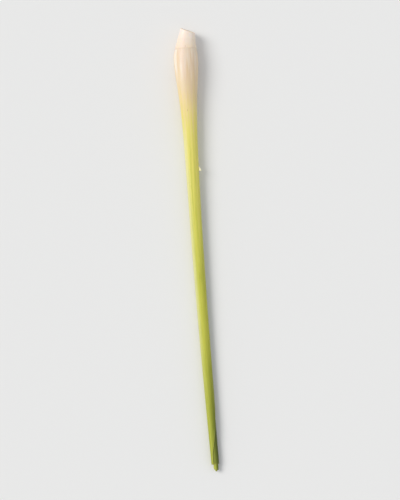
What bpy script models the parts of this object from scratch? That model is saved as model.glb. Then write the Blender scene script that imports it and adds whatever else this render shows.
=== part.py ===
"""A trimmed lemongrass stalk that lies on its side: a solid stem base with leaf sheaths rolled round it.

Metres, +Z up. The stalk lies along Y, with the root cut at +Y and the leaf cut at -Y, and it rests on
Z = 0 on the underside of its bulb and on the underside of its leaf end. X = 0 runs through the middle
of the bulb and of the leaf end.

Every piece is made straight first, along its own distance from the root cut, and then laid on the
stalk's gently bowed line. Distances along the stalk are called "along" and grow towards the leaves.
"""

import math

import bmesh
import bpy
from mathutils import Vector

# Driving dimensions.
STALK_LENGTH = 0.250
STEM_RADIUS_AT_ROOT = 0.00405
STEM_RADIUS_AT_LEAVES = 0.00245
BULB_SWELLING = 0.00287
BULB_MIDDLE = 0.0175
BULB_RISE = 0.0115
BULB_FALL = 0.0149
FLATNESS = 0.90

# How the stalk lies.
SIDEWAYS_BOW = 0.00125
NECK_LEAN = 0.0025
SAG = 0.0004

# The two cuts.
ROOT_CUT_MIDDLE = 0.0013
ROOT_CUT_NORMAL = Vector((0.40, 0.90, 0.17)).normalized()

# The sheaths. Each starts at its own ring round the stem base, and layer 0 is the outermost.
SHEATH_WALL = 0.00035
SHEATH_WALL_IN_BULB = 0.0009
LAYER_GAP = 0.00020
RING_GAP = 0.0003
RINGS = (0.0110, 0.0150, 0.0190)
SHEATH_ENDS = (0.2460, 0.2462, 0.2492)
SLIT = math.radians(8)

# The outer sheath's two margins part at the tear. Near its end one of them crosses over the top, so that
# the second sheath is bared and only a strip is left of the outer one.
TEAR = 0.0775
STRIP_START = 0.2030
STRIP_END = 0.2400

STEM_BASE_TIP = 0.046
HEART_START = 0.049

# How finely the pieces are divided: faces round a piece, and the distance between stations along it.
FACES_ROUND = 20
STEP_IN_BULB = 0.0036
STEP_ON_STEM = 0.0130
STEP_AT_TEAR = 0.0020
STEP_AT_STRIP = 0.0032
BULB_END = 0.060


def bulb_share(along):
    """How much of the bulb's full swelling there is here, from 0 to 1."""
    if along < BULB_MIDDLE:
        return math.exp(-(((BULB_MIDDLE - along) / BULB_RISE) ** 2))
    return 1 / math.cosh((along - BULB_MIDDLE) / BULB_FALL)


def stalk_radius(along):
    taper = (STEM_RADIUS_AT_ROOT - STEM_RADIUS_AT_LEAVES) * (1 - along / STALK_LENGTH)
    return STEM_RADIUS_AT_LEAVES + taper + BULB_SWELLING * bulb_share(along)


def sheath_wall(along):
    return SHEATH_WALL + (SHEATH_WALL_IN_BULB - SHEATH_WALL) * bulb_share(along)


def layer_radius(layer, along):
    """Outer radius of a layer, counted inwards from the stalk's own surface."""
    return stalk_radius(along) - layer * (sheath_wall(along) + LAYER_GAP)


def middle_of_stalk(along):
    """The stalk's centre line, as it lies."""
    x = 0.0
    if along < BULB_MIDDLE:
        x = NECK_LEAN * (1 - along / BULB_MIDDLE) ** 2
    share = (along - BULB_MIDDLE) / (STALK_LENGTH - BULB_MIDDLE)
    hollow = math.sin(math.pi * max(share, 0))
    x -= SIDEWAYS_BOW * hollow
    high = FLATNESS * stalk_radius(BULB_MIDDLE)
    low = FLATNESS * stalk_radius(STALK_LENGTH)
    z = high + (low - high) * share - SAG * hollow
    return Vector((x, STALK_LENGTH / 2 - along, z))


def lay_on_stalk(bm):
    """Moves a straight piece, with Y as the distance along, onto the bowed line of the stalk."""
    for vert in bm.verts:
        x, along, z = vert.co
        vert.co = middle_of_stalk(along) + Vector((x, 0, z * FLATNESS))


def smooth_step(value, start, end):
    share = min(max((value - start) / (end - start), 0), 1)
    return share * share * (3 - 2 * share)


def outer_margins(along):
    """The outer sheath closes round the bulb. Past the tear it bares one side, and it ends in a strip."""
    crossed = min(max((along - STRIP_START) / (STRIP_END - STRIP_START), 0), 1)
    first = math.radians(-28)
    first += math.radians(33) * smooth_step(along, TEAR, TEAR + 0.006)
    first += math.radians(9) * smooth_step(along, TEAR, STRIP_START)
    first += math.radians(108) * crossed**2
    last = math.radians(332) - SLIT
    last -= math.radians(28) * smooth_step(along, TEAR, TEAR + 0.030)
    return first, last


def second_margins(along):
    """The second sheath opens on the far side from the outer one."""
    return math.radians(-160), math.radians(200) - SLIT


def third_margins(along):
    return math.radians(-20), math.radians(340) - SLIT


def finish_piece(name, bm, material):
    """Turns a closed bmesh into a named, smooth-shaded object."""
    bmesh.ops.remove_doubles(bm, verts=bm.verts[:], dist=1e-7)
    bmesh.ops.recalc_face_normals(bm, faces=bm.faces[:])
    mesh = bpy.data.meshes.new(name)
    bm.to_mesh(mesh)
    bm.free()
    mesh.shade_smooth()
    mesh.set_sharp_from_angle(angle=math.radians(40))
    mesh.materials.append(material)
    piece = bpy.data.objects.new(name, mesh)
    bpy.context.scene.collection.objects.link(piece)
    return piece


def plant_material(name, colour, roughness):
    material = bpy.data.materials.new(name)
    material.use_nodes = True
    shader = material.node_tree.nodes["Principled BSDF"]
    shader.inputs["Base Color"].default_value = (*colour, 1)
    shader.inputs["Roughness"].default_value = roughness
    shader.inputs["Metallic"].default_value = 0
    return material


def stations_between(start, end, torn=()):
    """Distances along the stalk. They are closer together in the bulb, and in each torn span, which is
    given as its start, its end and its own step."""
    found = [start]
    while found[-1] < end:
        along = found[-1]
        step = STEP_IN_BULB if along < BULB_END else STEP_ON_STEM
        for span_start, span_end, span_step in torn:
            if span_start - span_step <= along < span_end:
                step = span_step
            elif along < span_start:
                step = min(step, span_start - along)
        found.append(along + step)
    found[-1] = end
    if found[-1] - found[-2] < STEP_AT_TEAR / 2:
        found.pop(-2)
    return found


def rolled_sheath(name, layer, margins, material, torn=()):
    """A flat plate, rolled round the stalk between its margins. It starts on its ring of the stem base."""
    stations = stations_between(RINGS[layer] + RING_GAP, SHEATH_ENDS[layer], torn)
    rows = len(stations) - 1
    bm = bmesh.new()
    bmesh.ops.create_grid(bm, x_segments=FACES_ROUND, y_segments=rows, size=0.5)
    extruded = bmesh.ops.extrude_face_region(bm, geom=bm.faces[:], use_keep_orig=True)
    inner_verts = [item for item in extruded["geom"] if isinstance(item, bmesh.types.BMVert)]
    bmesh.ops.translate(bm, verts=inner_verts, vec=(0, 0, -1))
    for vert in bm.verts:
        along = stations[round((vert.co.y + 0.5) * rows)]
        first, last = margins(along)
        angle = first + (last - first) * (vert.co.x + 0.5)
        radius = layer_radius(layer, along)
        if vert.co.z < -0.5:
            radius -= sheath_wall(along)
        vert.co = Vector((radius * math.cos(angle), along, radius * math.sin(angle)))
    lay_on_stalk(bm)
    return finish_piece(name, bm, material)


def turned(profile):
    """A solid of revolution about Y from (distance along, radius) points that start and end on the axis."""
    bm = bmesh.new()
    verts = [bm.verts.new((radius, along, 0)) for along, radius in profile]
    edges = [bm.edges.new(pair) for pair in zip(verts, verts[1:])]
    bmesh.ops.spin(
        bm,
        geom=verts + edges,
        axis=(0, 1, 0),
        cent=(0, 0, 0),
        angle=math.tau,
        steps=FACES_ROUND,
        use_merge=True,
    )
    bmesh.ops.remove_doubles(bm, verts=bm.verts[:], dist=1e-7)
    return bm


def stem_base(material):
    """The solid end of the stem. Its neck shows, and the rest steps in at each ring to carry a sheath."""
    before_cut = -0.003
    neck = [before_cut + (RINGS[0] - before_cut) * share / 7 for share in range(8)]
    profile = [(before_cut, 0)]
    profile += [(along, stalk_radius(along)) for along in neck]
    for layer, (ring, next_ring) in enumerate(zip(RINGS[:-1], RINGS[1:]), start=1):
        profile += [(along, layer_radius(layer, along)) for along in (ring, next_ring)]
    core = layer_radius(len(RINGS), RINGS[-1])
    for step in range(6):
        turn = math.pi / 2 * step / 6
        along = RINGS[-1] + (STEM_BASE_TIP - RINGS[-1]) * math.sin(turn)
        profile.append((along, core * math.cos(turn) ** 1.5))
    profile.append((STEM_BASE_TIP, 0))
    bm = turned(profile)
    lay_on_stalk(bm)
    cut = bmesh.ops.bisect_plane(
        bm,
        geom=bm.verts[:] + bm.edges[:] + bm.faces[:],
        plane_co=middle_of_stalk(ROOT_CUT_MIDDLE),
        plane_no=ROOT_CUT_NORMAL,
        clear_outer=True,
    )
    rim = [item for item in cut["geom_cut"] if isinstance(item, bmesh.types.BMEdge)]
    bmesh.ops.edgeloop_fill(bm, edges=rim)
    return finish_piece("stem_base", bm, material)


def heart_leaves(material):
    """The youngest leaves, rolled tight into a rod that stands out a little at the leaf cut."""
    layer = len(RINGS)
    dome = 0.0006
    span = STALK_LENGTH - dome - HEART_START
    stations = [HEART_START + span * share / 16 for share in range(17)]
    profile = [(HEART_START, 0)]
    profile += [(along, layer_radius(layer, along)) for along in stations]
    profile.append((STALK_LENGTH - dome * 0.3, layer_radius(layer, STALK_LENGTH) * 0.7))
    profile.append((STALK_LENGTH, 0))
    bm = turned(profile)
    lay_on_stalk(bm)
    return finish_piece("heart_leaves", bm, material)


def main():
    for leftover in list(bpy.data.objects):
        bpy.data.objects.remove(leftover)
    ivory = plant_material("root_ivory", (0.86, 0.74, 0.60), 0.55)
    outer = plant_material("outer_green", (0.62, 0.62, 0.20), 0.45)
    second = plant_material("second_green", (0.30, 0.38, 0.08), 0.45)
    inner = plant_material("inner_green", (0.55, 0.60, 0.25), 0.50)
    stem_base(ivory)
    torn = ((TEAR, TEAR + 0.008, STEP_AT_TEAR), (STRIP_START, SHEATH_ENDS[0], STEP_AT_STRIP))
    rolled_sheath("outer_sheath", 0, outer_margins, outer, torn)
    rolled_sheath("second_sheath", 1, second_margins, second)
    rolled_sheath("third_sheath", 2, third_margins, inner)
    heart_leaves(inner)


main()
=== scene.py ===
"""Finishes a trimmed lemongrass stalk: its stem base, rolled leaf sheaths and heart leaves, on a plain stage.

Metres, +Z up. The stalk lies along Y, with its root cut at +Y. A distance "along" is measured from the
root cut towards the leaves. An angle round the stalk is 0 towards +X and a quarter turn towards +Z.
"""

import math

import bmesh
import bpy
from bpy.props import FloatProperty, FloatVectorProperty, IntProperty, PointerProperty
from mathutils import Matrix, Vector, noise


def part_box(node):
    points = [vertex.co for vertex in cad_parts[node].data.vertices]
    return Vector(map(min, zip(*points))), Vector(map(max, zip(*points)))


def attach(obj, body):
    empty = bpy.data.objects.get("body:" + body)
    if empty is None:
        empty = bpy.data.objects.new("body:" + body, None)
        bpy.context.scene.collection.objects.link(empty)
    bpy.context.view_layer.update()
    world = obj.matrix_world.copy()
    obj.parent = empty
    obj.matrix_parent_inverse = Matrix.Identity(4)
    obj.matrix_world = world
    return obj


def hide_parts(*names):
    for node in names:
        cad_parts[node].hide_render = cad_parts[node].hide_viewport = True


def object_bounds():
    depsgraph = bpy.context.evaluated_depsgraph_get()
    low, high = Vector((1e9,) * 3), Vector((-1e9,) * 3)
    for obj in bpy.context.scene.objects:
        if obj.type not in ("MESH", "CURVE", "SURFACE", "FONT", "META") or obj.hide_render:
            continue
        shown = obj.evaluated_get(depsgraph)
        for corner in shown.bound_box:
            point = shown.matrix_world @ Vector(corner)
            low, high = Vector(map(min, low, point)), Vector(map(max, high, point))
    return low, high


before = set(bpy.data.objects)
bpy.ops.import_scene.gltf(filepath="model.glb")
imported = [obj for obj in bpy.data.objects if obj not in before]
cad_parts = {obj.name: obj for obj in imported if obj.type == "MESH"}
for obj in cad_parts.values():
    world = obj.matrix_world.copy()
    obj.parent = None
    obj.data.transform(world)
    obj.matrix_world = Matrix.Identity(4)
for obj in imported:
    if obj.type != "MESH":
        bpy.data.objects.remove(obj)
CAD_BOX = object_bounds()

bl_info = {
    "name": "Lemongrass Stalk",
    "version": (1, 0, 0),
    "blender": (4, 5, 0),
    "location": "3D View > Sidebar > Lemongrass",
    "description": "Builds the finished pieces of a trimmed lemongrass stalk, and a plain stage for it",
    "category": "Object",
}

# What the frame gives: how long the stalk is, and where each layer starts and ends along it.
SHEATH_NODES = ("outer_sheath", "second_sheath", "third_sheath")
STALK_LENGTH = -2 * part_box("heart_leaves")[0].y
STARTS = [STALK_LENGTH / 2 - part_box(node)[1].y for node in SHEATH_NODES]
ENDS = [STALK_LENGTH / 2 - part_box(node)[0].y for node in SHEATH_NODES]
STEM_BASE_TIP = STALK_LENGTH / 2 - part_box("stem_base")[0].y
HEART_START = STALK_LENGTH / 2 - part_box("heart_leaves")[1].y

# The root cut, the tear in the outer sheath, and the strip that it ends in.
ROOT_CUT_MIDDLE = 0.0013
ROOT_CUT_NORMAL = Vector((0.40, 0.90, 0.17)).normalized()
TEAR = 0.0775
STRIP_START = 0.2030
STRIP_END = 0.2400

# A ring scar goes round the neck here: a low ridge, with a shallow groove next to it.
RING_SCAR = 0.0058
SCAR_RIDGE = 0.00003
SCAR_GROOVE = 0.00002

# Patterns are painted as on a straight stalk of this radius, so that veins spread where the bulb swells.
PAINTED_RADIUS = 0.004


def linear(red, green, blue):
    """A screen colour of 0 to 255 as a linear one."""
    shares = (value / 255 for value in (red, green, blue))
    return tuple(s / 12.92 if s <= 0.04045 else ((s + 0.055) / 1.055) ** 2.4 for s in shares)


def length_property(name, description, default):
    kind = {"min": 0, "precision": 5, "unit": "LENGTH", "subtype": "DISTANCE"}
    return FloatProperty(name=name, description=description, default=default, **kind)


def colour_property(name, description, default):
    kind = {"min": 0, "max": 1, "size": 3, "subtype": "COLOR"}
    return FloatVectorProperty(name=name, description=description, default=default, **kind)


class LEMONGRASS_PG_sizes(bpy.types.PropertyGroup):
    """The stalk's sizes. The first ones are those of the frame that it is built round."""

    radius_at_root: length_property(
        "Stem radius at root", "The stem's radius, without its bulb, at the root cut", 0.00405
    )
    radius_at_leaves: length_property("Stem radius at leaves", "The stem's radius at the leaf cut", 0.00245)
    bulb_swelling: length_property("Bulb swelling", "How far the bulb swells beyond the stem", 0.00287)
    bulb_middle: length_property("Bulb middle", "Where the bulb is widest, from the root cut", 0.0175)
    bulb_rise: length_property("Bulb rise", "How slowly the bulb swells from the root cut", 0.0115)
    bulb_fall: length_property("Bulb fall", "How slowly the bulb narrows towards the leaves", 0.0149)
    flatness: FloatProperty(
        name="Flatness", description="The stalk's height over its width", default=0.90, min=0.5, max=1
    )
    sideways_bow: length_property("Sideways bow", "How far the stalk bows to one side", 0.00125)
    neck_lean: length_property("Neck lean", "How far the root end leans to the other side", 0.0025)
    sag: length_property("Sag", "How far the stalk's middle sags", 0.0004)
    wall: length_property("Sheath wall", "How thick a sheath is on the stem", 0.00035)
    wall_in_bulb: length_property("Sheath wall in bulb", "How thick a sheath is in the bulb", 0.0009)
    layer_gap: length_property("Layer gap", "The gap between one sheath and the next", 0.00020)
    margin_thickness: length_property("Margin thickness", "How thin a sheath is along its margins", 0.00008)
    rib_height: length_property("Rib height", "How far the sheaths' broad ribs rise", 0.00006)
    vein_height: length_property("Vein height", "How far the finer veins rise", 0.000016)
    columns: IntProperty(
        name="Columns", description="Faces across the outer sheath", default=168, min=24, max=180
    )


class LEMONGRASS_PG_colours(bpy.types.PropertyGroup):
    """The stalk's colours, from the root cut to the leaf cut, and the floor's."""

    cut_flesh: colour_property("Cut flesh", "The dried flesh of the root cut", linear(244, 226, 204))
    rind: colour_property("Rind", "The rim of the root cut and the ring scars", linear(216, 184, 154))
    root_ivory: colour_property("Root ivory", "The neck, next to the root cut", linear(253, 241, 228))
    collar_cream: colour_property("Collar cream", "The outer sheath, next to its ring", linear(250, 236, 217))
    bulb_cream: colour_property("Bulb cream", "The widest part of the bulb", linear(238, 213, 172))
    straw: colour_property("Straw", "Where the bulb narrows to the stem", linear(238, 215, 145))
    lemon: colour_property("Lemon", "The yellow start of the stem", linear(235, 222, 112))
    stem_green: colour_property("Stem green", "The middle of the stem", linear(198, 197, 66))
    leaf_green: colour_property("Leaf green", "The stem near the leaf cut", linear(144, 152, 24))
    # Shade green is the bared second sheath's own colour; across the sheaths it is also laid as painted shade
    # on the side away from the key light.
    shade_green: colour_property("Shade green", "The second sheath, where it is bared", linear(84, 98, 6))
    heart_green: colour_property("Heart green", "The rolled leaves inside", linear(170, 178, 62))
    floor: colour_property("Floor", "The plain floor", linear(236, 236, 234))


def smooth_step(value, start, end):
    share = min(max((value - start) / (end - start), 0), 1)
    return share * share * (3 - 2 * share)


def hump(distance, width):
    """A round bump of height 1 and about this half width."""
    return math.exp(-((distance / width) ** 2))


class Stalk:
    """The stalk's line, thickness and layers. Layer 0 is the outer sheath."""

    # How thin a sheath is where it starts at its ring, and over what length it reaches its full thickness.
    thin_wall = 0.00009
    ring_growth = 0.0024

    def __init__(self, sizes):
        self.sizes = sizes

    def bulb_share(self, along):
        """How much of the bulb's full swelling there is here, from 0 to 1."""
        before = self.sizes.bulb_middle - along
        if before > 0:
            return hump(before, self.sizes.bulb_rise)
        return 1 / math.cosh(before / self.sizes.bulb_fall)

    def radius(self, along):
        sizes = self.sizes
        taper = (sizes.radius_at_root - sizes.radius_at_leaves) * (1 - along / STALK_LENGTH)
        return sizes.radius_at_leaves + taper + sizes.bulb_swelling * self.bulb_share(along)

    def wall(self, layer, along):
        """A sheath starts thin at its ring, and reaches its full thickness a little way on."""
        sizes = self.sizes
        full = sizes.wall + (sizes.wall_in_bulb - sizes.wall) * self.bulb_share(along)
        grown = smooth_step(along, STARTS[layer], STARTS[layer] + self.ring_growth)
        return self.thin_wall + (full - self.thin_wall) * grown

    def layer_radius(self, layer, along):
        """Outer radius of a layer: the sheaths that lie outside it are taken off the stalk's own radius."""
        radius = self.radius(along)
        for outer in range(layer):
            if along > STARTS[outer]:
                opened = smooth_step(along, STARTS[outer], STARTS[outer] + self.ring_growth)
                edge = smooth_step(along, STARTS[outer], STARTS[outer] + 0.0003)
                radius -= self.wall(outer, along) * edge + self.sizes.layer_gap * opened
        return radius

    def middle(self, along):
        """The stalk's centre line, as it lies."""
        sizes = self.sizes
        lean = sizes.neck_lean * max(1 - along / sizes.bulb_middle, 0) ** 2
        share = (along - sizes.bulb_middle) / (STALK_LENGTH - sizes.bulb_middle)
        hollow = math.sin(math.pi * max(share, 0))
        high = sizes.flatness * self.radius(sizes.bulb_middle)
        low = sizes.flatness * self.radius(STALK_LENGTH)
        height = high + (low - high) * share - sizes.sag * hollow
        return Vector((lean - sizes.sideways_bow * hollow, STALK_LENGTH / 2 - along, height))

    def place(self, angle, along, radius):
        """A point at this angle and radius round the stalk's line."""
        round_it = Vector((math.cos(angle), 0, math.sin(angle) * self.sizes.flatness))
        return self.middle(along) + radius * round_it

    def ribs(self, angle, along, seed):
        """The uneven ribs and veins that run along a sheath."""
        broad = Vector((2.6 * math.cos(angle), along * 16, 2.6 * math.sin(angle) + seed))
        fine = Vector((9 * math.cos(angle), along * 40, 9 * math.sin(angle) - seed))
        swelling = 1 + self.bulb_share(along)
        rib = self.sizes.rib_height * noise.noise(broad)
        return (rib + self.sizes.vein_height * noise.noise(fine)) * swelling


# ----------------------------------------------------------------------------------------------- shapes


class Sheath:
    """One rolled leaf sheath. Its first margin lies on top, and its last one is tucked under the first."""

    # How far round a margin thins, and the gap between it and the margin that is tucked under it.
    lap = math.radians(20)
    clearance = 0.00003
    # How far the ring runs askew, and how far the leaf cut is frayed.
    rim_wave = 0.0004
    fray = 0.00022

    def __init__(self, stalk, layer, margins, seed, end_tilt):
        self.stalk = stalk
        self.layer = layer
        self.margins = margins
        self.seed = seed
        self.end_tilt = end_tilt

    def margin_taper(self, angle):
        """From 0 at a margin to 1 where the sheath has its full thickness."""
        return smooth_step(angle, 0, self.lap)

    def shifted(self, angle, along):
        """The ring and the leaf cut are never quite square to the stalk, and the cut frays a little."""
        start, end = STARTS[self.layer], ENDS[self.layer]
        at_ring = 1 - smooth_step(along, start, start + 0.005)
        along += at_ring * self.rim_wave * (0.5 + 0.5 * math.cos(angle - self.seed))
        at_cut = smooth_step(along, end - 0.006, end)
        frayed = noise.noise(Vector((5 * math.cos(angle), 5 * math.sin(angle), self.seed)))
        back = self.end_tilt * (0.5 - 0.5 * math.cos(angle - self.seed)) + self.fray * (0.5 + frayed)
        return along - at_cut * back

    def radii(self, angle, along):
        """Outer and inner radius at this angle."""
        first, last = self.margins(along)
        wall = self.stalk.wall(self.layer, along)
        outer = self.stalk.layer_radius(self.layer, along)
        outer += self.stalk.ribs(angle, along, self.seed)
        thin = min(self.stalk.sizes.margin_thickness, wall)
        tucked = angle - math.tau - first
        over = thin + (wall - thin) * self.margin_taper(angle - first)
        under = thin + (wall - thin) * self.margin_taper(last - angle)
        if tucked > -self.lap / 4:
            covered = thin + (wall - thin) * self.margin_taper(tucked)
            sunk = smooth_step(tucked, -self.lap / 4, 0) * (covered + self.clearance)
            return outer - sunk, outer - max(wall, sunk + thin)
        return outer, outer - min(over, under)

    def distances(self, angle, along, radius):
        """Metres to the nearest margin, and metres to the leaf cut."""
        first, last = self.margins(along)
        return min(angle - first, last - angle) * radius, ENDS[self.layer] - along


def outer_margins(along):
    """The outer sheath laps over itself round the bulb. Past the tear it bares one side, down to a strip."""
    crossed = min(max((along - STRIP_START) / (STRIP_END - STRIP_START), 0), 1)
    # The upper margin draws back to the tear, opens at it, and crosses over the top to leave the strip.
    first = math.radians(-28)
    first += math.radians(18) * smooth_step(along, TEAR - 0.022, TEAR)
    first += math.radians(15) * smooth_step(along, TEAR, TEAR + 0.006)
    first += math.radians(9) * smooth_step(along, TEAR, STRIP_START)
    first += math.radians(108) * crossed**2
    # It is jagged at the tear and at the end of the strip, and wavers a little all along.
    torn = hump(along - TEAR - 0.003, 0.006) + hump(along - STRIP_END + 0.004, 0.006)
    first += math.radians(5) * torn * noise.noise(Vector((along * 900, 0, 0)))
    first += math.radians(2) * noise.noise(Vector((along * 60, 3, 0)))
    # The lower margin is tucked under the upper one as far as the tear, and then draws back from it.
    last = math.radians(348)
    last -= math.radians(52) * smooth_step(along, TEAR, TEAR + 0.030)
    return first, last


def second_margins(along):
    """The second sheath opens on the far side from the outer one."""
    return math.radians(-160), math.radians(216)


def third_margins(along):
    return math.radians(-20), math.radians(356)


def stations_between(start, end, step, fine_spans=(), fine_step=0.0004):
    """Distances along the stalk, closer together at both ends and in the spans where a margin is torn."""
    spans = [(start, start + 0.004), (end - 0.005, end), *fine_spans]
    found = [start]
    while found[-1] < end:
        along = found[-1]
        fine = any(low - step <= along < high for low, high in spans)
        found.append(along + (fine_step if fine else step))
    found[-1] = end
    return found


def new_bmesh():
    """A bmesh whose points can carry what the materials read."""
    bm = bmesh.new()
    bm.verts.layers.float_vector.new("painted_place")
    for name in ("from_margin", "from_cut", "inside", "scar"):
        bm.verts.layers.float.new(name)
    return bm


def paint_point(bm, vert, angle, along, **values):
    """Keeps a point's place on the straight stalk, and other values, for the materials."""
    place = Vector((PAINTED_RADIUS * math.cos(angle), along, PAINTED_RADIUS * math.sin(angle)))
    vert[bm.verts.layers.float_vector["painted_place"]] = place
    for name, value in values.items():
        vert[bm.verts.layers.float[name]] = value


def plate_with_two_skins(columns, rows):
    """A flat plate from -0.5 to 0.5 both ways. Its outer skin lies at height 0, and its inner one at -1."""
    bm = new_bmesh()
    bmesh.ops.create_grid(bm, x_segments=columns, y_segments=rows, size=0.5)
    extruded = bmesh.ops.extrude_face_region(bm, geom=bm.faces[:], use_keep_orig=True)
    inner_verts = [item for item in extruded["geom"] if isinstance(item, bmesh.types.BMVert)]
    bmesh.ops.translate(bm, verts=inner_verts, vec=(0, 0, -1))
    return bm


def rolled_sheath(sheath, columns, stations):
    """A plate, rolled round the stalk between its margins."""
    rows = len(stations) - 1
    bm = plate_with_two_skins(columns, rows)
    for vert in bm.verts:
        inside = vert.co.z < -0.5
        along = stations[round((vert.co.y + 0.5) * rows)]
        first, last = sheath.margins(along)
        angle = first + (last - first) * (vert.co.x + 0.5)
        radius = sheath.radii(angle, along)[inside]
        from_margin, from_cut = sheath.distances(angle, along, radius)
        along = sheath.shifted(angle, along)
        vert.co = sheath.stalk.place(angle, along, radius)
        paint_point(bm, vert, angle, along, from_margin=from_margin, from_cut=from_cut, inside=inside)
    return bm


def turned(profile, steps):
    """A solid of revolution about Y from (distance along, radius) points that start and end on the axis."""
    bm = new_bmesh()
    verts = [bm.verts.new((radius, along, 0)) for along, radius in profile]
    edges = [bm.edges.new(pair) for pair in zip(verts, verts[1:])]
    bmesh.ops.spin(
        bm,
        geom=verts + edges,
        axis=(0, 1, 0),
        cent=(0, 0, 0),
        angle=math.tau,
        steps=steps,
        use_merge=True,
    )
    bmesh.ops.remove_doubles(bm, verts=bm.verts[:], dist=1e-7)
    return bm


def stem_profile(stalk):
    """The neck, the steps that carry the sheaths, and a rounded tip inside them."""
    before_cut, last_ring = -0.003, STARTS[-1] + Stalk.ring_growth
    step = 0.0003
    count = round((last_ring - before_cut) / step)
    profile = [(before_cut, 0)]
    for index in range(count + 1):
        along = before_cut + (last_ring - before_cut) * index / count
        profile.append((along, stalk.layer_radius(len(SHEATH_NODES), along)))
    core = profile[-1][1]
    for index in range(1, 16):
        turn = math.pi / 2 * index / 16
        along = last_ring + (STEM_BASE_TIP - last_ring) * math.sin(turn)
        profile.append((along, core * math.cos(turn) ** 1.5))
    profile.append((STEM_BASE_TIP, 0))
    return profile


def from_scar(angle, along):
    """Distance past the ring scar, which runs a little askew round the neck."""
    return along - RING_SCAR - 0.0004 * math.cos(angle - 0.928) - 0.00025 * math.cos(2 * angle + 5.22)


def build_stem_base(stalk):
    """The stem base, with its ribs and its ring scar, cut off slantwise at the root."""
    bm = turned(stem_profile(stalk), steps=96)
    for vert in bm.verts:
        x, along, z = vert.co
        angle, radius = math.atan2(z, x), math.hypot(x, z)
        scar = 0
        if radius > 0:
            past = from_scar(angle, along)
            radius += SCAR_RIDGE * hump(past, 0.0006) - SCAR_GROOVE * hump(past - 0.0009, 0.0005)
            radius += stalk.ribs(angle, along, seed=7)
            scar = 0.16 * hump(past - 0.0004, 0.0004)
        at_sheath = 0.5 * hump(along - STARTS[0] - 0.0002, 0.0004)
        vert.co = stalk.place(angle, along, radius)
        paint_point(bm, vert, angle, along, scar=max(scar, at_sheath), from_margin=1, from_cut=1)
    cut = bmesh.ops.bisect_plane(
        bm,
        geom=bm.verts[:] + bm.edges[:] + bm.faces[:],
        plane_co=stalk.middle(ROOT_CUT_MIDDLE),
        plane_no=ROOT_CUT_NORMAL,
        clear_outer=True,
    )
    rim = [item for item in cut["geom_cut"] if isinstance(item, bmesh.types.BMEdge)]
    cap = bmesh.ops.edgeloop_fill(bm, edges=rim)["faces"][0]
    dress_root_cut(bm, cap)
    return bm


def dress_root_cut(bm, cap):
    """The cut has a thin rind, a narrow step down inside it, and flesh that dried a little uneven."""
    scar = bm.verts.layers.float["scar"]
    middle = cap.calc_center_median()
    rind, flesh, rings, step_down = 0.960, 0.935, 20, 0.00013
    shares = [rind, flesh] + [flesh * (1 - ring / rings) for ring in range(1, rings)]
    cap.material_index = 1
    for vert in cap.verts:
        vert.co += ROOT_CUT_NORMAL * 0.00003 * noise.noise(vert.co * 1100)
    sunken = []
    before = 1
    for share in shares:
        extruded = bmesh.ops.extrude_face_region(bm, geom=[cap])
        bmesh.ops.delete(bm, geom=[cap], context="FACES_ONLY")
        cap = next(item for item in extruded["geom"] if isinstance(item, bmesh.types.BMFace))
        for vert in cap.verts:
            vert.co = middle + (vert.co - middle) * share / before
            vert[scar] = 0.25 if share >= flesh else 0
            if share <= flesh:
                sunken.append(vert)
        before = share
    sunken += bmesh.ops.poke(bm, faces=[cap])["verts"]
    for vert in sunken:
        uneven = 0.00010 * noise.noise(vert.co * 520) + 0.00003 * noise.noise(vert.co * 2100)
        vert.co -= ROOT_CUT_NORMAL * (step_down + uneven)


def build_heart(stalk):
    """The youngest leaves, as one long leaf rolled up in a spiral. Its inner turns stand out furthest."""
    layer = len(SHEATH_NODES)
    turns, columns, leaf, hollow = 1.75, 120, 0.00022, 0.00012
    stations = stations_between(HEART_START, STALK_LENGTH, 0.0045)
    rows = len(stations) - 1
    bm = plate_with_two_skins(columns, rows)
    for vert in bm.verts:
        inside = vert.co.z < -0.5
        across = vert.co.x + 0.5
        along = stations[round((vert.co.y + 0.5) * rows)]
        angle = math.radians(60) + across * turns * math.tau
        full = stalk.layer_radius(layer, along)
        pitch = (full - hollow - leaf) / turns
        taper = smooth_step(across, 0, 0.12) * smooth_step(1 - across, 0, 0.12)
        radius = full - pitch * turns * across - inside * leaf * (0.35 + 0.65 * taper)
        at_cut = smooth_step(along, STALK_LENGTH - 0.004, STALK_LENGTH)
        fray = noise.noise(Vector((4 * math.cos(angle), 4 * math.sin(angle), across)))
        shifted = along - at_cut * (0.00032 * (1 - across) ** 2 + 0.00012 * (0.5 + fray))
        radius -= 0.10 * radius * hump(STALK_LENGTH - along, 0.0005)
        from_margin = min(across, 1 - across) * turns * math.tau * full
        vert.co = stalk.place(angle, shifted, radius)
        from_cut = STALK_LENGTH - along
        paint_point(bm, vert, angle, along, from_margin=from_margin, from_cut=from_cut, inside=inside)
    return bm


def ribbon(bm, path, width, thickness, segments):
    """A tapering ribbon along path(share), which gives a point, the way across it and the way out of it."""
    made = bmesh.ops.create_grid(bm, x_segments=4, y_segments=segments, size=0.5)
    faces = list({face for vert in made["verts"] for face in vert.link_faces})
    extruded = bmesh.ops.extrude_face_region(bm, geom=faces, use_keep_orig=True)
    lower = {item for item in extruded["geom"] if isinstance(item, bmesh.types.BMVert)}
    for vert in [*made["verts"], *lower]:
        share = vert.co.y + 0.5
        point, across, out = path(share)
        taper = (1 - share) ** 0.6
        ragged = 1 + 0.35 * noise.noise(Vector((share * 7, vert.co.x * 2, width * 9000)))
        side = vert.co.x * width * max(taper, 0.04) * ragged
        depth = thickness * (0.3 + 0.7 * taper) * (vert in lower)
        vert.co = point + across * side - out * depth
        paint_point(bm, vert, 0, TEAR, from_margin=0.0, from_cut=1, inside=0)


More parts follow.
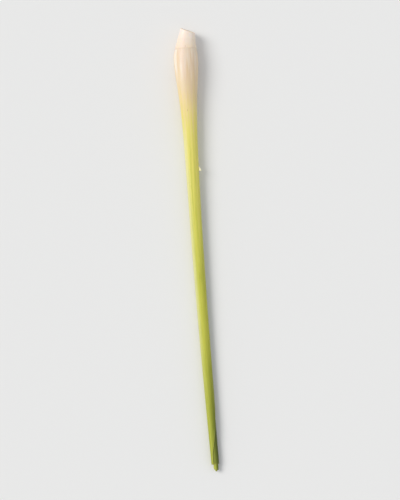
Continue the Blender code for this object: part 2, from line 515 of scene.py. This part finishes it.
# The flap at the tear, and the fibre on either side of it: the angle that it starts at, in degrees, and its
# place along. Then how far it drifts along, how far it lifts off, its width and its thickness.
FLAPS = (
    (8, TEAR + 0.0012, 0.0016, 0.0020, 0.0032, 0.00018),
    (-12, TEAR - 0.0012, 0.0006, 0.0010, 0.0007, 0.00010),
    (2, TEAR + 0.0039, 0.0018, 0.0008, 0.0006, 0.00008),
)
FLAP_ROOT = 0.00012


def build_torn_flap(stalk):
    """Where the outer sheath is torn, a small flap of it curls outwards, with two thin fibres beside it."""
    bm = new_bmesh()
    for degrees, along, drift, lift, width, thickness in FLAPS:

        def path(share, degrees=degrees, along=along, drift=drift, lift=lift):
            angle = math.radians(degrees + 18 * share)
            place = along + drift * share * share
            point = stalk.place(angle, place, stalk.layer_radius(0, place) - FLAP_ROOT + lift * share**1.5)
            across = Vector((0, -1, 0))
            facing = angle - 1.05 * math.sqrt(share)
            out = Vector((math.cos(facing), 0, math.sin(facing)))
            return point, across, out

        ribbon(bm, path, width, thickness, segments=16)
    return bm


def build_leaf_fibres(stalk):
    """Short fibres that stand out of the torn end of the outer sheath's strip."""
    bm = new_bmesh()
    root, width, thickness = 0.0016, 0.00022, 0.00008
    for index in range(6):
        angle = math.radians(127 + 29 * index)
        length = root + 0.0005 * (index % 3)

        def path(share, angle=angle, length=length):
            place = ENDS[0] - root + share * length
            point = stalk.place(angle + 0.05 * share, place, stalk.layer_radius(0, place) - 0.0001)
            across = Vector((-math.sin(angle), 0, math.cos(angle)))
            return point, across, Vector((math.cos(angle), 0, math.sin(angle)))

        ribbon(bm, path, width, thickness, segments=8)
    return bm


# -------------------------------------------------------------------------------------------- materials


def add_node(tree, kind, column, row, inputs=None, **settings):
    """Adds a node at a place in the node editor. Each input takes a plain value or another node's output."""
    node = tree.nodes.new(kind)
    node.location = (column * 190, -row * 190)
    for name, value in settings.items():
        setattr(node, name, value)
    for socket, value in (inputs or {}).items():
        if isinstance(value, bpy.types.NodeSocket):
            tree.links.new(value, node.inputs[socket])
        else:
            node.inputs[socket].default_value = value
    return node


def calculate(tree, operation, one, other, column=6, row=2):
    """What a node makes of two values by adding, multiplying or dividing them."""
    return add_node(tree, "ShaderNodeMath", column, row, {0: one, 1: other}, operation=operation).outputs[0]


def mask_between(tree, value, low, high, column=7, row=2, rise="SMOOTHSTEP"):
    """A mask that rises from 0 at low to 1 at high."""
    inputs = {"Value": value, "From Min": low, "From Max": high}
    mask = add_node(tree, "ShaderNodeMapRange", column, row, inputs, clamp=True, interpolation_type=rise)
    return mask.outputs[0]


def noise_texture(tree, place, row, scale, detail, roughness=0.5):
    inputs = {"Vector": place, "Scale": scale, "Detail": detail, "Roughness": roughness}
    return add_node(tree, "ShaderNodeTexNoise", 5, row, inputs).outputs[0]


def new_group(name, sizes, outputs):
    """A shader node group that reads a place, a seed and some sizes. Returns it with its end nodes."""
    group = bpy.data.node_groups.new(name, "ShaderNodeTree")
    group.interface.new_socket(name="Place", in_out="INPUT", socket_type="NodeSocketVector")
    for label, value in {"Seed": 0.0, **sizes}.items():
        socket = group.interface.new_socket(name=label, in_out="INPUT", socket_type="NodeSocketFloat")
        socket.default_value = value
    for label in outputs:
        group.interface.new_socket(name=label, in_out="OUTPUT", socket_type="NodeSocketFloat")
    return group, add_node(group, "NodeGroupInput", 0, 0), add_node(group, "NodeGroupOutput", 8, 0)


def stretched_place(group, entry, across, along, row=0):
    """The painted place, squeezed so that a pattern of size 1 is this wide across and along the stalk."""
    per_across = calculate(group, "DIVIDE", 1.0, across, 1, row)
    per_along = calculate(group, "DIVIDE", 1.0, along, 1, row + 1)
    shares = {"X": per_across, "Y": per_along, "Z": per_across}
    squeeze = add_node(group, "ShaderNodeCombineXYZ", 2, row, shares)
    place = entry.outputs["Place"]
    for column, operation, other in ((3, "MULTIPLY", squeeze.outputs[0]), (4, "ADD", entry.outputs["Seed"])):
        inputs = {0: place, 1: other}
        place = add_node(group, "ShaderNodeVectorMath", column, row, inputs, operation=operation).outputs[0]
    return place


def veins_group():
    """Long streaks that follow the stalk: broad ones, and fine ones between them."""
    group, entry, leave = new_group("Leaf veins", {"Spacing": 0.0011, "Length": 0.045}, ("Broad", "Fine"))
    place = stretched_place(group, entry, entry.outputs["Spacing"], entry.outputs["Length"])
    broad = noise_texture(group, place, 0, scale=1.0, detail=2.0, roughness=0.55)
    fine = noise_texture(group, place, 2, scale=3.4, detail=3.0, roughness=0.6)
    for output, streaks in (("Broad", broad), ("Fine", fine)):
        mask = mask_between(group, streaks, 0.36, 0.64, rise="LINEAR")
        group.links.new(mask, leave.inputs[output])
    return group


def blemish_group():
    """Where the skin is blushed, flecked with brown, or bruised greener."""
    group, entry, leave = new_group("Blush and flecks", {}, ("Blush", "Flecks", "Bruises"))
    wide = stretched_place(group, entry, 0.0035, 0.030)
    small = stretched_place(group, entry, 0.0016, 0.0060, row=3)
    blush = noise_texture(group, wide, 0, scale=1.0, detail=3.0, roughness=0.6)
    bruise = noise_texture(group, wide, 1, scale=1.7, detail=4.0, roughness=0.65)
    sparse = noise_texture(group, small, 4, scale=0.45, detail=1.0)
    cells = add_node(group, "ShaderNodeTexVoronoi", 5, 3, {"Vector": small, "Scale": 1.0, "Randomness": 1.0})
    dot = mask_between(group, cells.outputs["Distance"], 0.16, 0.05, 6, 3, rise="LINEAR")
    here = mask_between(group, sparse, 0.58, 0.70, 6, 4, rise="LINEAR")
    for output, mask in (
        ("Blush", mask_between(group, blush, 0.48, 0.72)),
        ("Bruises", mask_between(group, bruise, 0.55, 0.78)),
        ("Flecks", calculate(group, "MULTIPLY", dot, here, 7, 3)),
    ):
        group.links.new(mask, leave.inputs[output])
    return group


def edge_group():
    """A mask that is 1 at an edge and fades over a width, broken up along the edge."""
    group, entry, leave = new_group("Edge band", {"Distance": 1.0, "Width": 0.0008}, ("Band",))
    place = stretched_place(group, entry, 0.0008, 0.0030)
    jagged = noise_texture(group, place, 0, scale=1.0, detail=3.0)
    share = calculate(group, "DIVIDE", entry.outputs["Distance"], entry.outputs["Width"])
    reach = calculate(group, "ADD", jagged, share)
    group.links.new(mask_between(group, reach, 1.5, 0.5), leave.inputs["Band"])
    return group


def shared_group(name, make):
    """The node group of that name, made the first time that it is asked for."""
    return bpy.data.node_groups.get(name) or make()


class Paint:
    """A material under construction: a colour that layers are mixed onto, and then its gloss and bump."""

    def __init__(self, name, seed, roughness, coat, subsurface):
        self.material = bpy.data.materials.new(name)
        self.material.use_nodes = True
        self.tree = self.material.node_tree
        self.seed = seed
        self.roughness = roughness
        self.column = 2
        self.colour = None
        self.shader = self.tree.nodes["Principled BSDF"]
        for socket, value in (
            ("Metallic", 0),
            ("Coat Weight", coat),
            ("Coat Roughness", 0.35),
            ("Specular IOR Level", 0.30),
            ("Subsurface Weight", subsurface),
            ("Subsurface Radius", (1.0, 0.8, 0.35)),
            ("Subsurface Scale", 0.0008),
        ):
            self.shader.inputs[socket].default_value = value
        self.place = self.attribute("painted_place", "Vector")
        axes = add_node(self.tree, "ShaderNodeSeparateXYZ", 1, 0, {0: self.place}).outputs
        self.across, self.along = axes["X"], axes["Y"]

    def attribute(self, name, output="Fac"):
        row = len(self.tree.nodes) - 1
        return add_node(self.tree, "ShaderNodeAttribute", 0, row, attribute_name=name).outputs[output]

    def group(self, name, make, **inputs):
        """Places a shared node group that reads this piece's painted place."""
        row = len(self.tree.nodes) - 3
        inputs = {"Place": self.place, "Seed": self.seed, **inputs}
        return add_node(self.tree, "ShaderNodeGroup", 2, row, inputs, node_tree=shared_group(name, make))

    def base_along(self, stops, streaks=None, reach=0.0):
        """The skin's colour from the root cut to the leaf cut, as (distance along, colour) stops. Streaks
        carry the colours back and forth along the stalk, over this reach."""
        along = self.along
        if streaks is not None:
            span = {"Value": streaks, "To Min": -reach / 2, "To Max": reach / 2}
            shift = add_node(self.tree, "ShaderNodeMapRange", 1, 1, span)
            along = calculate(self.tree, "ADD", shift.outputs[0], along, 2, 1)
        share = calculate(self.tree, "DIVIDE", along, STALK_LENGTH, 2, 0)
        ramp = add_node(self.tree, "ShaderNodeValToRGB", 3, 0, {0: share})
        elements = ramp.color_ramp.elements
        ramp.color_ramp.interpolation = "EASE"
        while len(elements) < len(stops):
            elements.new(0.5)
        for element, (place, colour) in zip(elements, stops):
            element.position = place / STALK_LENGTH
            element.color = (*colour, 1)
        self.colour = ramp.outputs[0]

    def times(self, mask, other):
        """A mask, weakened by another mask or by a strength."""
        return calculate(self.tree, "MULTIPLY", mask, other, self.column, 2)

    def between(self, value, low, high):
        return mask_between(self.tree, value, low, high, self.column, 3)

    def layer(self, mask, colour, strength=1.0):
        """Mixes a colour onto what is painted so far."""
        self.column += 1
        inputs = {"Factor": self.times(mask, strength), 6: self.colour, 7: (*colour, 1)}
        mix = add_node(self.tree, "ShaderNodeMix", self.column + 2, 0, inputs, data_type="RGBA")
        self.colour = mix.outputs[2]

    def finish(self, uneven, heights, bump_depth):
        """Links the colour, a roughness that varies by a mask, and a bump of two weighted heights."""
        last = self.column + 3
        span = {"Value": uneven, "To Min": self.roughness - 0.07, "To Max": self.roughness + 0.09}
        rough = add_node(self.tree, "ShaderNodeMapRange", last, 2, span, clamp=True)
        one, other = (self.times(height, weight) for height, weight in heights)
        height = calculate(self.tree, "ADD", one, other, last, 4)
        relief = {"Height": height, "Distance": bump_depth, "Strength": 1.0}
        bump = add_node(self.tree, "ShaderNodeBump", last + 1, 4, relief)
        self.tree.links.new(self.colour, self.shader.inputs["Base Color"])
        self.tree.links.new(rough.outputs[0], self.shader.inputs["Roughness"])
        self.tree.links.new(bump.outputs[0], self.shader.inputs["Normal"])
        self.shader.location = ((last + 2) * 190, 0)
        self.tree.nodes["Material Output"].location = ((last + 4) * 190, 0)
        return self.material


def sheath_material(name, seed, stops, colours, fleck_strength=0.5):
    """A leaf sheath: coloured along its length, streaked by its veins, and dried at its margins and cut.
    Painted shade and a painted highlight lie on its two sides.
    """
    paint = Paint(name, seed, roughness=0.46, coat=0.04, subsurface=0.12)
    times, between = paint.times, paint.between
    veins = paint.group("Leaf veins", veins_group).outputs
    paint.base_along(stops, veins["Broad"], reach=0.018)
    blemishes = paint.group("Blush and flecks", blemish_group).outputs
    to_margin, to_cut = paint.attribute("from_margin"), paint.attribute("from_cut")
    margin = paint.group("Edge band", edge_group, Distance=to_margin, Width=0.0007).outputs[0]
    cut = paint.group("Edge band", edge_group, Distance=to_cut, Width=0.0006).outputs[0]

    # Where along and across the painted stalk each tint lies. Across runs from -PAINTED_RADIUS to it. The key
    # light shines from its low end, so several tints across it are painted shade on its high side and painted
    # highlight on its low side.
    across, along = paint.across, paint.along
    in_bulb = between(along, 0.060, 0.012)
    on_stem = between(along, 0.035, 0.090)
    # Painted shade: a tan darkening over the middle of the bulb and its side away from the key light.
    tan_lee_shade = times(between(across, -0.0022, 0.0002), between(along, 0.048, 0.036))
    past_bulb = times(between(along, 0.046, 0.066), between(along, 0.226, 0.140))
    # Painted highlight: a pale band along the stem's side towards the key light.
    painted_highlight_side = times(between(across, -0.0012, -0.0036), past_bulb)
    # Painted reflection: a light line along the bulb's edge away from the key light.
    painted_rim_reflection = times(between(across, 0.0030, 0.0040), in_bulb)
    # A greener tone that the sheaths have, together with painted shade, on the side away from the key light.
    greener_and_shaded_side = between(across, -0.0030, 0.0026)
    # Painted shade: the side away from the key light, darkened near the leaf cut.
    painted_shade_near_leaf_cut = times(between(across, 0.0, 0.0034), between(along, 0.206, 0.234))
    dry_margin = times(margin, between(along, 0.130, 0.085))

    for mask, colour, strength in (
        (times(veins["Broad"], on_stem), linear(180, 188, 62), 0.42),
        (times(veins["Fine"], on_stem), linear(228, 224, 116), 0.32),
        (times(veins["Broad"], in_bulb), linear(228, 192, 152), 0.46),
        (times(veins["Fine"], in_bulb), linear(252, 240, 218), 0.42),
        (times(blemishes["Blush"], in_bulb), linear(234, 194, 168), 0.35),
        (times(blemishes["Bruises"], on_stem), linear(148, 160, 56), 0.40),
        # Painted shade, tan, on the bulb's middle and its side away from the key light.
        (tan_lee_shade, linear(212, 184, 148), 0.30),
        # Painted highlight on the stem's side towards the key light.
        (painted_highlight_side, linear(236, 233, 196), 0.42),
        # Painted reflection along the bulb's edge away from the key light.
        (painted_rim_reflection, linear(250, 234, 210), 0.35),
        # Greener tone and painted shade on the stem's side away from the key light.
        (times(greener_and_shaded_side, between(along, 0.110, 0.145)), colours.shade_green, 0.15),
        (times(greener_and_shaded_side, between(along, 0.170, 0.230)), colours.shade_green, 0.60),
        # Painted shade on the side away from the key light, near the leaf cut.
        (painted_shade_near_leaf_cut, linear(52, 62, 2), 0.50),
        (blemishes["Flecks"], linear(158, 116, 64), fleck_strength),
        (margin, linear(196, 198, 110), 0.25),
        (dry_margin, linear(246, 240, 206), 0.60),
        (cut, linear(150, 140, 70), 0.45),
        (paint.attribute("inside"), linear(224, 224, 160), 0.60),
    ):
        paint.layer(mask, colour, strength)
    return paint.finish(veins["Fine"], ((veins["Broad"], 0.7), (veins["Fine"], 0.3)), 0.00006)


def outer_material(colours):
    stops = (
        (STARTS[0], colours.collar_cream),
        (0.024, colours.bulb_cream),
        (0.039, colours.straw),
        (0.062, colours.lemon),
        (0.150, colours.stem_green),
        (0.236, colours.leaf_green),
    )
    return sheath_material("outer_sheath_skin", 1.7, stops, colours)


def second_material(colours):
    stops = (
        (0.030, colours.bulb_cream),
        (0.060, colours.lemon),
        (0.130, colours.leaf_green),
        (0.200, colours.shade_green),
    )
    return sheath_material("second_sheath_skin", 5.3, stops, colours, fleck_strength=0.7)


def inner_material(colours):
    stops = (
        (0.030, colours.bulb_cream),
        (0.090, colours.lemon),
        (0.246, colours.heart_green),
    )
    return sheath_material("inner_leaf_skin", 9.1, stops, colours, fleck_strength=0.2)


def neck_material(colours):
    """The bare neck of the stem: ivory, faintly streaked with pink, with darker ring scars."""
    paint = Paint("neck_skin", 3.3, roughness=0.48, coat=0.08, subsurface=0.18)
    paint.base_along(((0.0, colours.root_ivory), (0.020, colours.bulb_cream)))
    veins = paint.group("Leaf veins", veins_group, Spacing=0.0009, Length=0.010).outputs
    blemishes = paint.group("Blush and flecks", blemish_group).outputs
    paint.layer(veins["Broad"], linear(246, 222, 204), 0.45)
    paint.layer(blemishes["Blush"], linear(238, 204, 186), 0.40)
    paint.layer(blemishes["Flecks"], linear(170, 122, 86), 0.6)
    paint.layer(paint.attribute("scar"), colours.rind, 0.55)
    return paint.finish(veins["Fine"], ((veins["Broad"], 0.4), (veins["Fine"], 0.6)), 0.00002)


def cut_material(colours):
    """The dried root cut: tan flesh, dotted with the ends of its fibres, inside a darker rind."""
    paint = Paint("root_cut_flesh", 6.1, roughness=0.72, coat=0.0, subsurface=0.10)
    place = add_node(paint.tree, "ShaderNodeTexCoord", 0, 6).outputs["Object"]
    inputs = {"Vector": place, "Scale": 3000.0, "Randomness": 1.0}
    cells = add_node(paint.tree, "ShaderNodeTexVoronoi", 1, 6, inputs)
    grain = noise_texture(paint.tree, place, 7, scale=700.0, detail=4.0)
    paint.base_along(((0.0, colours.cut_flesh), (0.020, colours.cut_flesh)))
    dots = paint.between(cells.outputs["Distance"], 0.42, 0.12)
    paint.layer(paint.between(grain, 0.40, 0.66), linear(236, 212, 184), 0.6)
    paint.layer(dots, linear(196, 156, 120), 0.5)
    paint.layer(paint.attribute("scar"), colours.rind)
    return paint.finish(grain, ((dots, 0.25), (grain, 0.75)), 0.00008)


def fibre_material():
    """Torn, dried leaf tissue: pale and matt."""
    paint = Paint("torn_fibre", 2.9, roughness=0.66, coat=0.0, subsurface=0.15)
    paint.base_along(((0.0, linear(252, 248, 226)), (STALK_LENGTH, linear(226, 224, 160))))
    veins = paint.group("Leaf veins", veins_group, Spacing=0.0004, Length=0.002).outputs
    paint.layer(veins["Broad"], linear(228, 216, 168), 0.4)
    return paint.finish(veins["Fine"], ((veins["Broad"], 0.5), (veins["Fine"], 0.5)), 0.00004)


def floor_material(colours):
    """Smooth matt board, with a trace of tooth."""
    material = bpy.data.materials.new("floor_board")
    material.use_nodes = True
    tree = material.node_tree
    shader = tree.nodes["Principled BSDF"]
    place = add_node(tree, "ShaderNodeTexCoord", -4, 0).outputs["Object"]
    grain = add_node(tree, "ShaderNodeTexNoise", -3, 0, {"Vector": place, "Scale": 900.0, "Detail": 2.0})
    relief = {"Height": grain.outputs[0], "Distance": 0.00002, "Strength": 0.4}
    tree.links.new(add_node(tree, "ShaderNodeBump", -1, 1, relief).outputs[0], shader.inputs["Normal"])
    shader.inputs["Base Color"].default_value = (*colours.floor, 1)
    shader.inputs["Roughness"].default_value = 0.85
    return material


# -------------------------------------------------------------------------------------------- operators


def finish_piece(name, bm, materials, replaced=()):
    """Turns a bmesh into a smooth piece that rides on the stalk's body, and hides the CAD parts that it
    replaces.
    """
    bmesh.ops.remove_doubles(bm, verts=bm.verts[:], dist=1e-7)
    bmesh.ops.recalc_face_normals(bm, faces=bm.faces[:])
    mesh = bpy.data.meshes.new(name)
    bm.to_mesh(mesh)
    bm.free()
    mesh.shade_smooth()
    mesh.set_sharp_from_angle(angle=math.radians(42))
    for material in materials:
        mesh.materials.append(material)
    piece = bpy.data.objects.new(name, mesh)
    bpy.context.scene.collection.objects.link(piece)
    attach(piece, "root")
    if replaced:
        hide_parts(*replaced)
    return piece


class LEMONGRASS_OT_stem_base(bpy.types.Operator):
    """Build the solid stem base, with its ring scars and its root cut"""

    bl_idname = "lemongrass.stem_base"
    bl_label = "Stem base"

    def execute(self, context):
        stalk, colours = Stalk(context.scene.lemongrass_sizes), context.scene.lemongrass_colours
        materials = (neck_material(colours), cut_material(colours))
        finish_piece("trimmed_stem_base", build_stem_base(stalk), materials, ("stem_base",))
        return {"FINISHED"}


class LEMONGRASS_OT_outer_sheath(bpy.types.Operator):
    """Build the outer sheath, which laps over itself in the bulb and is torn open on the stem"""

    bl_idname = "lemongrass.outer_sheath"
    bl_label = "Outer sheath"

    def execute(self, context):
        sizes = context.scene.lemongrass_sizes
        sheath = Sheath(Stalk(sizes), 0, outer_margins, seed=2.1, end_tilt=0.0008)
        torn = ((TEAR - 0.002, TEAR + 0.010), (STRIP_END - 0.014, STRIP_END + 0.001))
        stations = stations_between(STARTS[0], ENDS[0], 0.0016, torn)
        bm = rolled_sheath(sheath, sizes.columns, stations)
        material = outer_material(context.scene.lemongrass_colours)
        finish_piece("rolled_outer_sheath", bm, (material,), ("outer_sheath",))
        return {"FINISHED"}


class LEMONGRASS_OT_second_sheath(bpy.types.Operator):
    """Build the second sheath, which shows where the outer one is torn away"""

    bl_idname = "lemongrass.second_sheath"
    bl_label = "Second sheath"

    def execute(self, context):
        sizes = context.scene.lemongrass_sizes
        sheath = Sheath(Stalk(sizes), 1, second_margins, seed=4.4, end_tilt=0.0007)
        bm = rolled_sheath(sheath, sizes.columns * 3 // 4, stations_between(STARTS[1], ENDS[1], 0.0020))
        material = second_material(context.scene.lemongrass_colours)
        finish_piece("rolled_second_sheath", bm, (material,), ("second_sheath",))
        return {"FINISHED"}


class LEMONGRASS_OT_inner_leaves(bpy.types.Operator):
    """Build the third sheath and the heart leaves rolled up inside it"""

    bl_idname = "lemongrass.inner_leaves"
    bl_label = "Inner leaves"

    def execute(self, context):
        sizes = context.scene.lemongrass_sizes
        stalk = Stalk(sizes)
        sheath = Sheath(stalk, 2, third_margins, seed=0.8, end_tilt=0.0006)
        bm = rolled_sheath(sheath, sizes.columns // 2, stations_between(STARTS[2], ENDS[2], 0.0030))
        material = inner_material(context.scene.lemongrass_colours)
        finish_piece("rolled_third_sheath", bm, (material,), ("third_sheath",))
        heart = build_heart(stalk)
        finish_piece("rolled_heart_leaves", heart, (material,), ("heart_leaves",))
        return {"FINISHED"}


class LEMONGRASS_OT_torn_fibres(bpy.types.Operator):
    """Build the flap at the tear and the fibres at the end of the outer sheath"""

    bl_idname = "lemongrass.torn_fibres"
    bl_label = "Torn fibres"

    def execute(self, context):
        stalk = Stalk(context.scene.lemongrass_sizes)
        material = fibre_material()
        finish_piece("torn_flap", build_torn_flap(stalk), (material,))
        finish_piece("leaf_end_fibres", build_leaf_fibres(stalk), (material,))
        return {"FINISHED"}


class LEMONGRASS_OT_stage(bpy.types.Operator):
    """Build the floor, the soft studio light and the camera that looks down on the stalk"""

    bl_idname = "lemongrass.stage"
    bl_label = "Stage"

    floor_size = 8.0
    lens = 135.0
    frame_height = 0.281
    roll = math.radians(-4.25)

    def execute(self, context):
        self.add_floor(context)
        self.add_light(context, "key_light", 1.85, 35, Vector((-0.75, 0.35, 0.85)), (1.0, 0.98, 0.95))
        self.add_light(context, "fill_light", 0.32, 90, Vector((0.7, -0.4, 0.9)), (0.97, 0.98, 1.0))
        self.add_world(context)
        self.add_camera(context)
        context.scene.view_settings.view_transform = "Standard"
        return {"FINISHED"}

    def add_floor(self, context):
        bm = bmesh.new()
        bmesh.ops.create_grid(bm, x_segments=2, y_segments=2, size=self.floor_size / 2)
        bmesh.ops.translate(bm, verts=bm.verts[:], vec=(0, 0, CAD_BOX[0].z - 0.0001))
        mesh = bpy.data.meshes.new("floor")
        bm.to_mesh(mesh)
        bm.free()
        mesh.materials.append(floor_material(context.scene.lemongrass_colours))
        floor = bpy.data.objects.new("floor", mesh)
        context.scene.collection.objects.link(floor)

    def add_light(self, context, name, strength, softness, source, colour):
        """A wide, distant light that shines from that side. Its softness is its width in degrees."""
        light = bpy.data.lights.new(name, "SUN")
        light.energy = strength
        light.angle = math.radians(softness)
        light.color = colour
        lamp = bpy.data.objects.new(name, light)
        lamp.location = source
        lamp.rotation_euler = (-source).to_track_quat("-Z", "Y").to_euler()
        context.scene.collection.objects.link(lamp)

    def add_world(self, context):
        world = bpy.data.worlds.new("pale_room")
        world.use_nodes = True
        background = world.node_tree.nodes["Background"]
        background.inputs["Color"].default_value = (0.93, 0.95, 1.0, 1)
        background.inputs["Strength"].default_value = 0.50
        context.scene.world = world

    def add_camera(self, context):
        """The camera looks straight down, and is rolled so that the stalk leans a little in the frame."""
        camera = bpy.data.cameras.new("camera")
        camera.lens = self.lens
        camera.sensor_width = 36
        distance = self.frame_height * self.lens / camera.sensor_width
        eye = bpy.data.objects.new("camera", camera)
        middle = (CAD_BOX[0] + CAD_BOX[1]) / 2
        eye.location = middle + Vector((0, 0, distance))
        eye.rotation_euler = (0, 0, self.roll)
        context.scene.collection.objects.link(eye)
        context.scene.camera = eye


class LEMONGRASS_PT_panel(bpy.types.Panel):
    """Lists what can be built, and the sizes and colours that it is built with"""

    bl_idname = "LEMONGRASS_PT_panel"
    bl_label = "Lemongrass Stalk"
    bl_space_type = "VIEW_3D"
    bl_region_type = "UI"
    bl_category = "Lemongrass"

    def draw(self, context):
        column = self.layout.column(align=True)
        for operator in OPERATORS:
            column.operator(operator.bl_idname)
        for title, group in (
            ("Sizes", context.scene.lemongrass_sizes),
            ("Colours", context.scene.lemongrass_colours),
        ):
            box = self.layout.box()
            box.label(text=title)
            for name in group.__annotations__:
                box.prop(group, name)


OPERATORS = (
    LEMONGRASS_OT_stem_base,
    LEMONGRASS_OT_outer_sheath,
    LEMONGRASS_OT_second_sheath,
    LEMONGRASS_OT_inner_leaves,
    LEMONGRASS_OT_torn_fibres,
    LEMONGRASS_OT_stage,
)
CLASSES = (LEMONGRASS_PG_sizes, LEMONGRASS_PG_colours, *OPERATORS, LEMONGRASS_PT_panel)


def register():
    for cls in CLASSES:
        bpy.utils.register_class(cls)
    bpy.types.Scene.lemongrass_sizes = PointerProperty(type=LEMONGRASS_PG_sizes)
    bpy.types.Scene.lemongrass_colours = PointerProperty(type=LEMONGRASS_PG_colours)


def unregister():
    del bpy.types.Scene.lemongrass_colours
    del bpy.types.Scene.lemongrass_sizes
    for cls in reversed(CLASSES):
        bpy.utils.unregister_class(cls)


def main():
    register()
    bpy.ops.lemongrass.stem_base()
    bpy.ops.lemongrass.outer_sheath()
    bpy.ops.lemongrass.second_sheath()
    bpy.ops.lemongrass.inner_leaves()
    bpy.ops.lemongrass.torn_fibres()
    bpy.ops.lemongrass.stage()


if __name__ == "__main__":
    main()
